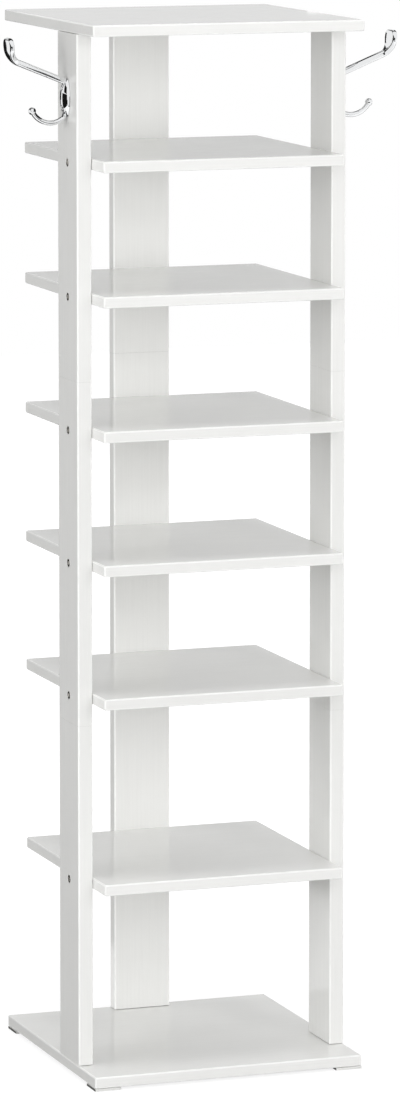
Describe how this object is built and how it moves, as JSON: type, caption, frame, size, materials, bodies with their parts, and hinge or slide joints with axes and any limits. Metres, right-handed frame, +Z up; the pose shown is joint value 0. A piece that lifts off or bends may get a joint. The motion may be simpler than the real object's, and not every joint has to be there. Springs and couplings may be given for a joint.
{
  "type": "shoe rack",
  "caption": "Tall narrow free-standing shoe rack: square shelves between slim spliced posts, a square top and base, and a double coat hook on each side.",
  "frame": {"origin": "on the floor, at the centre of the rack's footprint", "axes": "+Z up, -Y the open front, +X to the right seen from the front"},
  "size_m": [0.4334, 0.3, 1.1211],
  "materials": {
    "white_laminate": "white laminate on particle board, satin, faint embossed grain",
    "chrome": "polished chrome plating on a zinc casting",
    "chrome_screw": "chrome-plated countersunk screw",
    "nickel_screw": "nickel-plated steel",
    "zinc_stud": "zinc-plated steel",
    "beech_dowel": "bare beech",
    "foot_pad": "matt closed-cell foam"
  },
  "bodies": {
    "root": {"top_panel": "white_laminate", "base_panel": "white_laminate", "shelf_1": "white_laminate", "shelf_2": "white_laminate", "shelf_3": "white_laminate", "shelf_4": "white_laminate", "shelf_5": "white_laminate", "shelf_6": "white_laminate", "left_post_lower": "white_laminate", "left_post_middle": "white_laminate", "left_post_upper": "white_laminate", "right_post_lower": "white_laminate", "right_post_middle": "white_laminate", "right_post_upper": "white_laminate", "back_post_lower": "white_laminate", "back_post_middle": "white_laminate", "back_post_upper": "white_laminate", "left_hook": "chrome", "right_hook": "chrome", "left_hook_screw_upper": "chrome_screw", "left_hook_screw_lower": "chrome_screw", "right_hook_screw_upper": "chrome_screw", "right_hook_screw_lower": "chrome_screw", "left_screw_1": "nickel_screw", "left_screw_2": "nickel_screw", "left_screw_3": "nickel_screw", "left_screw_4": "nickel_screw", "left_screw_5": "nickel_screw", "left_screw_6": "nickel_screw", "right_screw_1": "nickel_screw", "right_screw_2": "nickel_screw", "right_screw_3": "nickel_screw", "right_screw_4": "nickel_screw", "right_screw_5": "nickel_screw", "right_screw_6": "nickel_screw", "back_screw_1": "nickel_screw", "back_screw_2": "nickel_screw", "back_screw_3": "nickel_screw", "back_screw_4": "nickel_screw", "back_screw_5": "nickel_screw", "back_screw_6": "nickel_screw", "base_screw_left": "nickel_screw", "base_screw_right": "nickel_screw", "base_screw_back": "nickel_screw", "left_stud_lower": "zinc_stud", "left_stud_upper": "zinc_stud", "right_stud_lower": "zinc_stud", "right_stud_upper": "zinc_stud", "back_stud_lower": "zinc_stud", "back_stud_upper": "zinc_stud", "top_dowel_left": "beech_dowel", "top_dowel_right": "beech_dowel", "top_dowel_back": "beech_dowel", "foot_front_left": "foot_pad", "foot_front_right": "foot_pad", "foot_back_left": "foot_pad", "foot_back_right": "foot_pad"}
  },
  "joints": []
}
